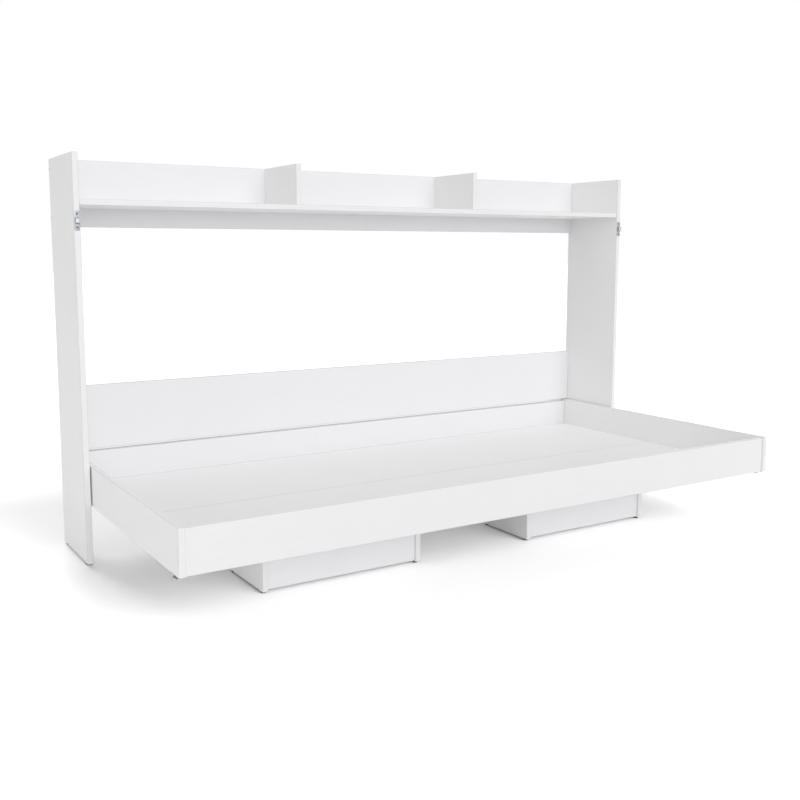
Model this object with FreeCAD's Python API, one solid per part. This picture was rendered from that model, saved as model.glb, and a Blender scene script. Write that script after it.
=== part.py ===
"""A folding wall bed of white boards: a frame with a shelf, a mattress tray that folds up, two supports.

Units are millimetres. X runs along the bed, Y from the room to the wall, Z up from the floor.
The origin is on the floor, in the middle of the space that the open bed takes up.
"""
import FreeCAD, Part
import os

# Boards
BOARD = 16.0
ARRIS = 0.8
OVERRUN = 2.0

# Mattress tray
MATTRESS_LENGTH = 1900.0
MATTRESS_WIDTH = 900.0
LENGTH_ROOM = 10.0
WIDTH_ROOM = 6.0
TRAY_DEPTH = 96.0
RAIL_RECESS = 5.0
FRONT_RAIL_DROP = 3.0
REAR_RAIL_DROP = 6.0
SEAM_GAP = 0.5
WALL_GAP = 6.0
HEEL_RADIUS = 12.0

# Supports under the tray
SUPPORT_WIDTH = 480.0
SUPPORT_DEPTH = 216.0
SUPPORT_HEIGHT = 161.0
SUPPORT_END_INSET = 284.0
SUPPORT_SETBACK = 236.0
SUPPORT_PANEL_RECESS = 5.0
SUPPORT_PANEL_LIFT = 3.0

# Frame against the wall
UPRIGHT_DEPTH = 260.0
FOLD_CLEARANCE = 10.0
SHELF_RECESS = 3.0
DIVIDER_HEIGHT = 121.0
DIVIDER_RECESS = 16.0
OUTER_BAY = 646.5
BACK_BOARD_HEIGHT = 190.0
LOWER_PANEL_HEIGHT = 190.0
LOWER_PANEL_CLEARANCE = 2.0
STRIP_HEIGHT = 5.0
STRIP_INSET = 2.0
STRIP_LEFT_END = 40.0
STRIP_RIGHT_END = 93.0
LATH_HEIGHT = 14.0
LATH_THICKNESS = 3.0

# Pivots of the tray
PIVOT_RISE = 60.0
PIN_RADIUS = 6.0
PIN_DEPTH = 12.0
PIN_CLEARANCE = 0.05
SHANK_RADIUS = 5.0
SHANK_DEPTH = 12.0
COLLAR_RADIUS = 14.0
COLLAR_THICKNESS = 2.0
BUSH_WALL = 3.0
BUSH_DEPTH = 13.0
FLANGE_RADIUS = 14.0
FLANGE_THICKNESS = 1.7
FLANGE_CLEARANCE = 0.3

# Latches under the tray, and the keeps on the uprights that their bolts enter when it is folded up
LATCH_SETBACK = 32.0
LATCH_LENGTH = 52.0
LATCH_INSET = 0.5
LATCH_PLATE = 1.5
LATCH_CORNER = 3.0
LATCH_SCREW_SPACING = 36.0
HOOP_INSET = 2.0
HOOP_FOOT = 17.0
HOOP_CROWN = 11.0
BOLT_RADIUS = 3.0
BOLT_CLEARANCE = 0.3
BOLT_NOSE = 2.5
BOLT_LEAD = 1.0
BOLT_TRAVEL = 14.0
BOLT_SPARE = 2.0
HANDLE_RADIUS = 2.5
HANDLE_LENGTH = 20.0
LATCH_SCREW_RADIUS = 1.75
LATCH_SCREW_DEPTH = 13.0
LATCH_SCREW_HEAD_RADIUS = 3.4
LATCH_SCREW_HEAD_HEIGHT = 1.3

# Joinery, whose hidden pieces are drawn with few sides
HIDDEN_SIDES = 8
SHOWN_SIDES = 12
BACK_SCREW_RADIUS = 3.5
BACK_SCREW_DEPTH = 34.0
BACK_SCREW_HEAD_RADIUS = 5.0
BACK_SCREW_HEAD_HEIGHT = 3.0
BACK_SCREW_INSET = 28.0
DIVIDER_SCREW_RADIUS = 2.0
DIVIDER_SCREW_DEPTH = 30.0
DIVIDER_SCREW_HEAD_RADIUS = 4.0
DIVIDER_SCREW_HEAD_HEIGHT = 2.5
DIVIDER_SCREW_INSET = 40.0
DOWEL_RADIUS = 4.0
DOWEL_DEPTH = 10.0
CAM_RADIUS = 7.5
CAM_DEPTH = 12.0
CAM_SETBACK = 34.0
CAM_BOLT_RADIUS = 3.5
CAM_BOLT_DEPTH = 11.0
SHELF_CAM_INSET = 45.0
PANEL_DOWEL_INSET = 40.0
RAIL_DOWEL_INSET = 25.0
BASE_DOWEL_INSET = 70.0
SUPPORT_DOWEL_INSET = 45.0

# Floor glides
GLIDE_RADIUS = 7.0
GLIDE_HEIGHT = 5.0
GLIDE_CHAMFER = 1.5
UPRIGHT_GLIDE_INSET = 22.0
SUPPORT_GLIDE_INSET = 14.0

# Lengths along the bed
tray_length = MATTRESS_LENGTH + LENGTH_ROOM
side_gap = COLLAR_THICKNESS + FLANGE_CLEARANCE + FLANGE_THICKNESS
end_inner_x = tray_length / 2
end_outer_x = end_inner_x + BOARD
upright_inner_x = end_outer_x + side_gap
upright_outer_x = upright_inner_x + BOARD

# Places from the wall to the front of the open tray
tray_width = MATTRESS_WIDTH + WIDTH_ROOM
end_length = RAIL_RECESS + BOARD + tray_width + BOARD
wall_y = (end_length + WALL_GAP) / 2
bed_rear_y = wall_y - WALL_GAP
bed_front_y = bed_rear_y - end_length
front_rail_y = bed_front_y + RAIL_RECESS
base_front_y = front_rail_y + BOARD
seam_y = (base_front_y + bed_rear_y) / 2
upright_front_y = wall_y - UPRIGHT_DEPTH
shelf_front_y = upright_front_y + SHELF_RECESS
back_face_y = wall_y - BOARD

# Heights
bed_bottom_z = GLIDE_HEIGHT + SUPPORT_HEIGHT
base_top_z = bed_bottom_z + BOARD
rim_z = base_top_z + TRAY_DEPTH
front_rail_top_z = rim_z - FRONT_RAIL_DROP
rear_rail_top_z = rim_z - REAR_RAIL_DROP
lower_panel_z = rim_z + LOWER_PANEL_CLEARANCE
lower_panel_top_z = lower_panel_z + LOWER_PANEL_HEIGHT

# The tray turns about this line, and folded up its underside is level with the uprights' front edges
pivot_y = upright_front_y + PIVOT_RISE
pivot_z = bed_bottom_z + PIVOT_RISE
folded_top_z = pivot_z + pivot_y - bed_front_y
shelf_z = folded_top_z + FOLD_CLEARANCE
shelf_top_z = shelf_z + BOARD
frame_top_z = shelf_top_z + DIVIDER_HEIGHT
back_board_z = frame_top_z - BACK_BOARD_HEIGHT
latch_y = bed_front_y + LATCH_SETBACK
keep_z = folded_top_z - LATCH_SETBACK

ALONG_X = FreeCAD.Vector(1, 0, 0)
ALONG_Y = FreeCAD.Vector(0, 1, 0)
ALONG_Z = FreeCAD.Vector(0, 0, 1)
LEFT_AND_RIGHT = (("left", -1), ("right", 1))


def block(x, y, z):
    """A plain box between the low and high value of each axis."""
    corner = FreeCAD.Vector(min(x), min(y), min(z))
    return Part.makeBox(abs(x[1] - x[0]), abs(y[1] - y[0]), abs(z[1] - z[0]), corner)


def board(x, y, z):
    """A board with the small arris that edge banding leaves all round."""
    plain = block(x, y, z)
    return plain.makeChamfer(ARRIS, plain.Edges)


def rod(radius, start, end):
    """A round bar from one point to another."""
    run = end - start
    return Part.makeCylinder(radius, run.Length, start, run)


def prism(sides, radius, start, end):
    """A bar with flat sides from one point to another."""
    run = end - start
    aim = FreeCAD.Rotation(ALONG_Z, run)
    spoke = FreeCAD.Vector(radius, 0, 0)
    turns = [FreeCAD.Rotation(ALONG_Z, 360 * step / sides) for step in range(sides)]
    corners = [start + aim.multVec(turn.multVec(spoke)) for turn in turns]
    return Part.Face(Part.makePolygon(corners + corners[:1])).extrude(run)


def headed_screw(tip, seat, sizes):
    """A screw whose shank runs from its tip to the seat, with the head standing beyond the seat."""
    radius, head_radius, head_height = sizes
    out = (seat - tip).normalize()
    shank = prism(HIDDEN_SIDES, radius, tip, seat)
    head = prism(SHOWN_SIDES, head_radius, seat, seat + out * head_height)
    return shank.fuse(head).removeSplitter()


def dowel(joint, across):
    """A dowel that reaches equally far into the two boards that meet at a joint."""
    reach = across * DOWEL_DEPTH
    return prism(HIDDEN_SIDES, DOWEL_RADIUS, joint - reach, joint + reach)


def cam_lock(joint, inward, face):
    """A cam sunk into a board from one face, with the bolt that ties the board's end to the next board."""
    centre = joint + inward * CAM_SETBACK
    mouth = centre + face * (BOARD / 2)
    cam = prism(SHOWN_SIDES, CAM_RADIUS, mouth, mouth - face * CAM_DEPTH)
    bolt = prism(HIDDEN_SIDES, CAM_BOLT_RADIUS, joint - inward * CAM_BOLT_DEPTH, centre)
    return cam.fuse(bolt).removeSplitter()


def drilled(shape, pieces):
    """A board with a seat cut for each piece that goes into it."""
    return shape.cut(Part.makeCompound(pieces))


# Latch parts lie on an edge of a board: X across it from the outer side, Y along it, Z out of it
latch_width = BOARD - 2 * LATCH_INSET
latch_x = (LATCH_INSET, LATCH_INSET + latch_width)
hoop_x = (latch_x[0] + HOOP_INSET, latch_x[1] - HOOP_INSET)
bolt_axis = LATCH_PLATE + BOLT_CLEARANCE + BOLT_RADIUS
hoop_height = 2 * bolt_axis
handle_x = latch_x[1] + BOLT_TRAVEL + BOLT_SPARE + HANDLE_RADIUS


def plate_screws():
    """The two screws of a latch or keep plate."""
    sizes = (LATCH_SCREW_RADIUS, LATCH_SCREW_HEAD_RADIUS, LATCH_SCREW_HEAD_HEIGHT)
    middle = FreeCAD.Vector(BOARD / 2, 0, 0)
    screws = []
    for side in (-1, 1):
        place = middle + ALONG_Y * (side * LATCH_SCREW_SPACING / 2)
        tip = place - ALONG_Z * LATCH_SCREW_DEPTH
        seat = place + ALONG_Z * LATCH_PLATE
        screws.append(headed_screw(tip, seat, sizes))
    return screws


def hoop():
    """A hoop pressed out of the plate's own sheet: upright feet, sloping shoulders and a flat crown."""
    half = ((HOOP_FOOT / 2, 0), (HOOP_FOOT / 2, bolt_axis), (HOOP_CROWN / 2, hoop_height))
    right = [FreeCAD.Vector(hoop_x[0], y, z) for y, z in half]
    left = [FreeCAD.Vector(hoop_x[0], -y, z) for y, z in reversed(half)]
    outline = Part.Face(Part.makePolygon(right + left + right[:1]))
    opening = outline.makeOffset2D(-LATCH_PLATE, join=2)
    return outline.cut(opening).extrude(ALONG_X * (hoop_x[1] - hoop_x[0]))


def hoop_plate():
    """A plate with trimmed corners and a hoop across its middle, which serves as latch and as keep."""
    plate = block(latch_x, (-LATCH_LENGTH / 2, LATCH_LENGTH / 2), (0, LATCH_PLATE))
    corner_edges = [edge for edge in plate.Edges if edge.BoundBox.ZLength > LATCH_PLATE / 2]
    plate = plate.makeChamfer(LATCH_CORNER, corner_edges)
    return drilled(plate.fuse(hoop()).removeSplitter(), plate_screws())


def slide_bolt():
    """The round bolt, drawn back, with a handle turned at its tail like a bent bar."""
    root = FreeCAD.Vector(handle_x, 0, bolt_axis)
    nose = FreeCAD.Vector(-BOLT_NOSE, 0, bolt_axis)
    bar = rod(BOLT_RADIUS, nose, root + ALONG_X * HANDLE_RADIUS)
    rims = [edge for edge in bar.Edges if edge.Closed]
    bar = bar.makeChamfer(BOLT_LEAD, rims)
    handle = rod(HANDLE_RADIUS, root, root - ALONG_Y * HANDLE_LENGTH)
    return bar.fuse(handle).removeSplitter()


def seated(shape, place, turn):
    """A latch part turned about X onto its board edge and moved to its place."""
    moved = shape.copy()
    moved.rotate(FreeCAD.Vector(0, 0, 0), ALONG_X, turn)
    moved.translate(place)
    return moved


def mirrored(shape, side):
    """The shape as built for the left end, or its mirror image for the right end."""
    if side < 0:
        return shape
    return shape.mirror(FreeCAD.Vector(0, 0, 0), ALONG_X)


nodes = {}


def keep_node(name, shapes):
    """Stores one node: a single solid, or a group of separate ones."""
    nodes[name] = shapes[0] if len(shapes) == 1 else Part.makeCompound(shapes)


# Boards as they come from the saw
between_uprights = (-upright_inner_x, upright_inner_x)
between_ends = (-end_inner_x, end_inner_x)
upright_y = (upright_front_y, wall_y)
back_y = (back_face_y, wall_y)
shelf = board(between_uprights, (shelf_front_y, back_face_y), (shelf_z, shelf_top_z))
upper_back_board = board(between_uprights, back_y, (back_board_z, frame_top_z))
lower_back_panel = board(between_uprights, back_y, (lower_panel_z, lower_panel_top_z))
front_rail = board(between_ends, (front_rail_y, base_front_y), (bed_bottom_z, front_rail_top_z))
rear_rail = board(between_ends, (bed_rear_y - BOARD, bed_rear_y), (base_top_z, rear_rail_top_z))
base_z = (bed_bottom_z, base_top_z)
front_base_panel = board(between_ends, (base_front_y, seam_y - SEAM_GAP / 2), base_z)
rear_base_panel = board(between_ends, (seam_y + SEAM_GAP / 2, bed_rear_y), base_z)
strip_x = (STRIP_LEFT_END - upright_inner_x, upright_inner_x - STRIP_RIGHT_END)
lath_y = (wall_y - LATH_THICKNESS, wall_y)
strip_y = (back_face_y + STRIP_INSET, lath_y[0])
stop_strip = block(strip_x, strip_y, (lower_panel_z - STRIP_HEIGHT, lower_panel_z))
gap_lath = block(between_uprights, lath_y, (lower_panel_z - LATH_HEIGHT, lower_panel_z))

# Joinery at the two ends of the frame and of the tray
shelf_mid_z = shelf_z + BOARD / 2
panel_mid_y = wall_y - BOARD / 2
rail_mid_y = front_rail_y + BOARD / 2
rear_rail_mid_y = bed_rear_y - BOARD / 2
base_mid_z = bed_bottom_z + BOARD / 2
lower_panel_mid_z = (lower_panel_z + lower_panel_top_z) / 2
rail_mid_z = (bed_bottom_z + front_rail_top_z) / 2
rear_rail_mid_z = (base_top_z + rear_rail_top_z) / 2
back_screw_sizes = (BACK_SCREW_RADIUS, BACK_SCREW_HEAD_RADIUS, BACK_SCREW_HEAD_HEIGHT)
back_screws = []
shelf_cams = []
panel_cams = []
panel_dowels = []
rail_cams = []
rail_dowels = []
base_dowels = []
for label, side in LEFT_AND_RIGHT:
    inward = ALONG_X * -side
    joint_x = side * upright_inner_x
    end_x = side * end_inner_x
    for z in (back_board_z + BACK_SCREW_INSET, frame_top_z - BACK_SCREW_INSET):
        tip = FreeCAD.Vector(side * (upright_inner_x - BACK_SCREW_DEPTH), panel_mid_y, z)
        seat = FreeCAD.Vector(side * (upright_outer_x - BACK_SCREW_HEAD_HEIGHT), panel_mid_y, z)
        back_screws.append(headed_screw(tip, seat, back_screw_sizes))
    for y in (shelf_front_y + SHELF_CAM_INSET, back_face_y - SHELF_CAM_INSET):
        shelf_cams.append(cam_lock(FreeCAD.Vector(joint_x, y, shelf_mid_z), inward, -ALONG_Z))
    panel_cams.append(cam_lock(FreeCAD.Vector(joint_x, panel_mid_y, lower_panel_mid_z), inward, ALONG_Y))
    for z in (lower_panel_z + PANEL_DOWEL_INSET, lower_panel_top_z - PANEL_DOWEL_INSET):
        panel_dowels.append(dowel(FreeCAD.Vector(joint_x, panel_mid_y, z), ALONG_X))
    for y, z in ((rail_mid_y, rail_mid_z), (rear_rail_mid_y, rear_rail_mid_z)):
        rail_cams.append(cam_lock(FreeCAD.Vector(end_x, y, z), inward, ALONG_Y))
    for z in (bed_bottom_z + RAIL_DOWEL_INSET, front_rail_top_z - RAIL_DOWEL_INSET):
        rail_dowels.append(dowel(FreeCAD.Vector(end_x, rail_mid_y, z), ALONG_X))
    for low_y, high_y in ((base_front_y, seam_y), (seam_y, bed_rear_y)):
        for y in (low_y + BASE_DOWEL_INSET, high_y - BASE_DOWEL_INSET):
            base_dowels.append(dowel(FreeCAD.Vector(end_x, y, base_mid_z), ALONG_X))

# Dividers, screwed from under the shelf
divider_front_y = shelf_front_y + DIVIDER_RECESS
divider_screw_sizes = (DIVIDER_SCREW_RADIUS, DIVIDER_SCREW_HEAD_RADIUS, DIVIDER_SCREW_HEAD_HEIGHT)
divider_screws = []
for label, side in LEFT_AND_RIGHT:
    left_face_x = side * (upright_inner_x - OUTER_BAY)
    divider_x = (left_face_x, left_face_x + BOARD)
    divider = board(divider_x, (divider_front_y, back_face_y), (shelf_top_z, frame_top_z))
    own_screws = []
    for y in (divider_front_y + DIVIDER_SCREW_INSET, back_face_y - DIVIDER_SCREW_INSET):
        foot = FreeCAD.Vector(left_face_x + BOARD / 2, y, shelf_z + DIVIDER_SCREW_HEAD_HEIGHT)
        tip = FreeCAD.Vector(foot.x, y, shelf_top_z + DIVIDER_SCREW_DEPTH)
        own_screws.append(headed_screw(tip, foot, divider_screw_sizes))
    keep_node(label + "_divider", [drilled(divider, own_screws)])
    divider_screws += own_screws

# Latches and keeps for the left end, which the right end mirrors
latch_place = FreeCAD.Vector(-end_outer_x, latch_y, bed_bottom_z)
keep_place = FreeCAD.Vector(-upright_outer_x, upright_front_y, keep_z)
ON_FRONT_EDGE = 90
ON_BOTTOM_EDGE = 180
latch_pieces = [seated(screw, latch_place, ON_BOTTOM_EDGE) for screw in plate_screws()]
keep_pieces = [seated(screw, keep_place, ON_FRONT_EDGE) for screw in plate_screws()]

bush_bore = PIN_RADIUS + PIN_CLEARANCE
bush_radius = bush_bore + BUSH_WALL


def pivot_point(side, inward):
    """A point on the tray's turning line, counted from the upright's inner face towards the tray."""
    return FreeCAD.Vector(side * (upright_inner_x - inward), pivot_y, pivot_z)


def pivot_stud(side):
    """A stud in the upright: its shank, a collar that spaces the tray, and the pin that carries it."""
    face = pivot_point(side, 0)
    shank = prism(HIDDEN_SIDES, SHANK_RADIUS, pivot_point(side, -SHANK_DEPTH), face)
    collar = prism(SHOWN_SIDES, COLLAR_RADIUS, face, pivot_point(side, COLLAR_THICKNESS))
    pin = rod(PIN_RADIUS, face, pivot_point(side, side_gap + PIN_DEPTH))
    return shank.multiFuse([collar, pin]).removeSplitter()


def bush_sleeve(side):
    """The sleeve of a bush, before its bore, which also cuts its seat in the end board."""
    mouth = pivot_point(side, side_gap - FLANGE_THICKNESS)
    return prism(SHOWN_SIDES, bush_radius, mouth, pivot_point(side, side_gap + BUSH_DEPTH))


def pivot_bush(side):
    """A flanged bush in the end board, bored to run on the pin."""
    mouth = pivot_point(side, side_gap - FLANGE_THICKNESS)
    flange = prism(SHOWN_SIDES, FLANGE_RADIUS, mouth, pivot_point(side, side_gap))
    bore = rod(bush_bore, pivot_point(side, 0), pivot_point(side, side_gap + BUSH_DEPTH + OVERRUN))
    return flange.fuse(bush_sleeve(side)).removeSplitter().cut(bore)


def glide(x, y):
    """A floor glide under a board, with its lower edge trimmed."""
    disc = prism(SHOWN_SIDES, GLIDE_RADIUS, FreeCAD.Vector(x, y, 0), FreeCAD.Vector(x, y, GLIDE_HEIGHT))
    foot_edges = [edge for edge in disc.Edges if edge.BoundBox.ZMax < GLIDE_HEIGHT / 2]
    return disc.makeChamfer(GLIDE_CHAMFER, foot_edges)


# The two ends: upright, end board, pivot, latch and keep
upright_glides = []
all_latch_screws = []
all_keep_screws = []
heel_z = rim_z - HEEL_RADIUS
heel_y = bed_rear_y - HEEL_RADIUS
for label, side in LEFT_AND_RIGHT:
    upright_x = (side * upright_inner_x, side * upright_outer_x)
    end_x = (side * end_inner_x, side * end_outer_x)
    pivot = pivot_stud(side)
    latch_screws = [mirrored(screw, side) for screw in latch_pieces]
    keep_screws = [mirrored(screw, side) for screw in keep_pieces]

    upright = board(upright_x, upright_y, (GLIDE_HEIGHT, frame_top_z))
    upright_seats = back_screws + shelf_cams + panel_cams + panel_dowels + keep_screws + [pivot]
    keep_node(label + "_upright", [drilled(upright, upright_seats)])

    end_board = block(end_x, (bed_front_y, bed_rear_y), (bed_bottom_z, rim_z))
    heel = [edge for edge in end_board.Edges if edge.BoundBox.YMin > heel_y and edge.BoundBox.ZMin > heel_z]
    end_board = end_board.makeFillet(HEEL_RADIUS, heel)
    end_board = end_board.makeChamfer(ARRIS, end_board.Edges)
    end_seats = rail_cams + rail_dowels + base_dowels + latch_screws + [bush_sleeve(side)]
    keep_node(label + "_end_board", [drilled(end_board, end_seats)])

    keep_node(label + "_pivot", [pivot])
    keep_node(label + "_pivot_bush", [pivot_bush(side)])
    keep_node(label + "_latch", [mirrored(seated(hoop_plate(), latch_place, ON_BOTTOM_EDGE), side)])
    keep_node(label + "_bolt", [mirrored(seated(slide_bolt(), latch_place, ON_BOTTOM_EDGE), side)])
    keep_node(label + "_keep", [mirrored(seated(hoop_plate(), keep_place, ON_FRONT_EDGE), side)])
    all_latch_screws += latch_screws
    all_keep_screws += keep_screws
    glide_x = side * (upright_inner_x + BOARD / 2)
    for y in (upright_front_y + UPRIGHT_GLIDE_INSET, wall_y - UPRIGHT_GLIDE_INSET):
        upright_glides.append(glide(glide_x, y))

# Supports: two side boards and a front panel set back between them
support_front_y = bed_front_y + SUPPORT_SETBACK
support_y = (support_front_y, support_front_y + SUPPORT_DEPTH)
support_z = (GLIDE_HEIGHT, bed_bottom_z)
panel_front_y = support_front_y + SUPPORT_PANEL_RECESS
panel_y = (panel_front_y, panel_front_y + BOARD)
panel_z = (GLIDE_HEIGHT + SUPPORT_PANEL_LIFT, bed_bottom_z)
support_dowels = []
support_glides = []
for label, side in LEFT_AND_RIGHT:
    far_x = side * (end_inner_x - SUPPORT_END_INSET)
    near_x = far_x - side * SUPPORT_WIDTH
    inner_near_x = near_x + side * BOARD
    inner_far_x = far_x - side * BOARD
    panel_dowel_y = panel_front_y + BOARD / 2
    face_dowels = []
    for joint_x in (inner_near_x, inner_far_x):
        for z in (panel_z[0] + SUPPORT_DOWEL_INSET, panel_z[1] - SUPPORT_DOWEL_INSET):
            face_dowels.append(dowel(FreeCAD.Vector(joint_x, panel_dowel_y, z), ALONG_X))
    support_dowels += face_dowels
    for name, x in (("inner", (near_x, inner_near_x)), ("outer", (inner_far_x, far_x))):
        side_board = board(x, support_y, support_z)
        middle_x = sum(x) / 2
        top_dowels = []
        for y in (support_y[0] + SUPPORT_DOWEL_INSET, support_y[1] - SUPPORT_DOWEL_INSET):
            top_dowels.append(dowel(FreeCAD.Vector(middle_x, y, bed_bottom_z), ALONG_Z))
        support_dowels += top_dowels
        keep_node(label + "_support_" + name + "_side", [drilled(side_board, face_dowels + top_dowels)])
        for y in (support_y[0] + SUPPORT_GLIDE_INSET, support_y[1] - SUPPORT_GLIDE_INSET):
            support_glides.append(glide(middle_x, y))
    panel = board((inner_near_x, inner_far_x), panel_y, panel_z)
    keep_node(label + "_support_panel", [drilled(panel, face_dowels)])

# Long boards, with the seats of everything that goes into them
keep_node("shelf", [drilled(shelf, shelf_cams + divider_screws)])
keep_node("upper_back_board", [drilled(upper_back_board, back_screws)])
keep_node("lower_back_panel", [drilled(lower_back_panel, panel_cams + panel_dowels)])
keep_node("stop_strip", [stop_strip])
keep_node("gap_lath", [gap_lath])
keep_node("front_rail", [drilled(front_rail, rail_cams + rail_dowels)])
keep_node("rear_rail", [drilled(rear_rail, rail_cams)])
keep_node("front_base_panel", [drilled(front_base_panel, base_dowels + support_dowels)])
keep_node("rear_base_panel", [drilled(rear_base_panel, base_dowels + support_dowels)])

# Fasteners and glides, each kind as one group
keep_node("back_board_screws", back_screws)
keep_node("shelf_cam_locks", shelf_cams)
keep_node("divider_screws", divider_screws)
keep_node("lower_panel_cam_locks", panel_cams)
keep_node("lower_panel_dowels", panel_dowels)
keep_node("rail_cam_locks", rail_cams)
keep_node("rail_dowels", rail_dowels)
keep_node("base_dowels", base_dowels)
keep_node("support_dowels", support_dowels)
keep_node("latch_screws", all_latch_screws)
keep_node("keep_screws", all_keep_screws)
keep_node("upright_glides", upright_glides)
keep_node("support_glides", support_glides)

os.makedirs("parts", exist_ok=True)
for name, shape in nodes.items():
    shape.exportStep("parts/" + name + ".step")
print(len(nodes), "nodes,", sum(len(shape.Solids) for shape in nodes.values()), "solids")
print("overall length", 2 * upright_outer_x, "depth", wall_y - bed_front_y, "height", frame_top_z)
print("pivot at y", pivot_y, "z", pivot_z, "latch at y", latch_y, "keep at z", keep_z)
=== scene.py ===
# %% [markdown]
# # A folding wall bed in white board
#
# The bed is a frame of white boards against a wall, and a shallow mattress tray that folds up into it. The
# imported model already has every board, screw and pivot in its place. This lesson gives each of them a
# finish, rounds the small metal pieces, which a press never leaves sharp, and sets the bed in a white
# studio before a camera.
#
# That is why it comes first: whatever is added later only has to say which body it rides on.

import math

import bmesh
import bpy
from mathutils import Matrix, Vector


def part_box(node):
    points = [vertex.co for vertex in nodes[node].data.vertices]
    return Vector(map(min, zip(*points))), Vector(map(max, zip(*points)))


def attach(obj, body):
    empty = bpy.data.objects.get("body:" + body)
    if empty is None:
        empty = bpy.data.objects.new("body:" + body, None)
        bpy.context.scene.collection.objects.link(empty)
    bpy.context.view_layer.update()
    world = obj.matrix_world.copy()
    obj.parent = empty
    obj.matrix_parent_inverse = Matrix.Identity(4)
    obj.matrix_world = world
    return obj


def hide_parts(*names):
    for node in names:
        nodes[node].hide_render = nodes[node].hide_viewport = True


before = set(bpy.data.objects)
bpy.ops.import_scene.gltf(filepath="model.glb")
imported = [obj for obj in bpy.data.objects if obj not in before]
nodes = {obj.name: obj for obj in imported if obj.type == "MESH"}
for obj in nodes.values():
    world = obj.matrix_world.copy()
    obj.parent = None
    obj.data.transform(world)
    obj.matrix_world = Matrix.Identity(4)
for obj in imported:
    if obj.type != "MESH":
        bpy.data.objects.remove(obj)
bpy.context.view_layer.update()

# %% [markdown]
# ## A finish starts from a bare shader
#
# Every finish here is a small graph of nodes that ends in one Principled shader. Such a graph could be
# wired by hand in the shader editor. Written as a script it can be read in order, and helpers for what all
# finishes need save the same lines in each of them. Values that are equal all over a surface are set on
# the shader's own sockets, and only what varies is wired, so that the finish survives when the bed is
# exported.

# %% A bare finish and its wiring
def empty_graph(owner):
    """The node graph of a material or a world, with nothing in it yet."""
    owner.use_nodes = True
    owner.node_tree.nodes.clear()
    return owner.node_tree


def fill_socket(graph, socket, value):
    """Wires a socket to another node's output, or sets it to a plain value."""
    if isinstance(value, bpy.types.NodeSocket):
        graph.links.new(value, socket)
    else:
        socket.default_value = value


def add_node(graph, kind, sockets=None, **settings):
    """One node of the graph, with its settings, and with sockets filled by name or number."""
    node = graph.nodes.new(kind)
    for key, value in settings.items():
        setattr(node, key, value)
    for key, value in (sockets or {}).items():
        fill_socket(graph, node.inputs[key], value)
    return node


def bare_finish(name):
    """A new material that holds only a Principled shader and the output."""
    finish = bpy.data.materials.new(name)
    graph = empty_graph(finish)
    shader = add_node(graph, "ShaderNodeBsdfPrincipled")
    add_node(graph, "ShaderNodeOutputMaterial", {"Surface": shader.outputs["BSDF"]})
    return finish, graph, shader


print("finishes start from a Principled shader")

# %% Sums, blends, noise and relief
AXES = "XYZ"


def calculate(graph, operation, *values, **settings):
    """One sum on up to three numbers, each of them plain or wired."""
    node = add_node(graph, "ShaderNodeMath", dict(enumerate(values)), operation=operation, **settings)
    return node.outputs["Value"]


def take_to_range(graph, value, limits, **settings):
    """A number taken from one range to another, by the limits of both."""
    node = add_node(graph, "ShaderNodeMapRange", {"Value": value, **limits}, **settings)
    return node.outputs["Result"]


def blend_colours(graph, factor, first, second):
    """A colour that goes from the first to the second as the factor goes from 0 to 1."""
    mix = add_node(graph, "ShaderNodeMix", data_type="RGBA", clamp_factor=True)
    sockets = {socket.identifier: socket for socket in mix.inputs}
    for key, value in (("Factor_Float", factor), ("A_Color", first), ("B_Color", second)):
        fill_socket(graph, sockets[key], value)
    return next(socket for socket in mix.outputs if socket.identifier == "Result_Color")


def noise(graph, spot, grain, seed=None):
    """A cloudy number between 0 and 1. The grain gives its scale, in clouds per metre, and its detail."""
    sockets = {"Vector": spot, **grain}
    if seed is None:
        node = add_node(graph, "ShaderNodeTexNoise", sockets)
    else:
        node = add_node(graph, "ShaderNodeTexNoise", {**sockets, "W": seed}, noise_dimensions="4D")
    return node.outputs["Fac"]


def run_along(graph, spot, grain_axis, stretch):
    """Places squeezed along one axis, so that a noise on them is drawn out along it."""
    shares = [stretch if axis == grain_axis else 1.0 for axis in AXES]
    node = add_node(graph, "ShaderNodeVectorMath", {0: spot, 1: shares}, operation="MULTIPLY")
    return node.outputs["Vector"]


def emboss(graph, shader, height, depth, strength):
    """Raises the surface by a height from 0 to 1, which stands for a depth in metres."""
    relief = add_node(graph, "ShaderNodeBump", {"Strength": strength, "Distance": depth, "Height": height})
    graph.links.new(relief.outputs["Normal"], shader.inputs["Normal"])


print("noise can be drawn out along", ", ".join(AXES))

# %% [markdown]
# ## Face, edge and corner of a board
#
# The boards are chipboard pressed between sheets of white melamine. The narrow edges are covered with a
# plastic tape that is ironed on and trimmed, and the trimmed corner shows a faint grey line, partly the
# adhesive of the tape and partly painted shade along the corner.
#
# Each of these zones could be a material slot that is picked by hand, board by board. Instead the graph
# asks which way a surface faces, in the board's own axes, and so finds out by itself what is face, what is
# edge and what is the trimmed corner between them. The corner is where the surface faces no axis squarely.

# %% Zones by the way a surface faces
FACE_LIMITS = {"From Min": 0.72, "From Max": 0.98}
CORNER_LIMITS = {"From Min": 0.93, "From Max": 0.75}


def board_zones(graph, normal, face_axis, corner_grey):
    """How much a spot belongs to a face, and how much of the corner's grey line of adhesive and painted shade
    it shows.
    """
    facing = add_node(graph, "ShaderNodeVectorMath", {0: normal}, operation="ABSOLUTE")
    shares = add_node(graph, "ShaderNodeSeparateXYZ", {0: facing.outputs["Vector"]}).outputs
    on_face = take_to_range(graph, shares[face_axis], FACE_LIMITS, interpolation_type="SMOOTHSTEP")
    widest = calculate(graph, "MAXIMUM", shares["X"], shares["Y"])
    widest = calculate(graph, "MAXIMUM", widest, shares["Z"])
    on_corner = take_to_range(graph, widest, {**CORNER_LIMITS, "To Max": corner_grey})
    return on_face, on_corner


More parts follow.
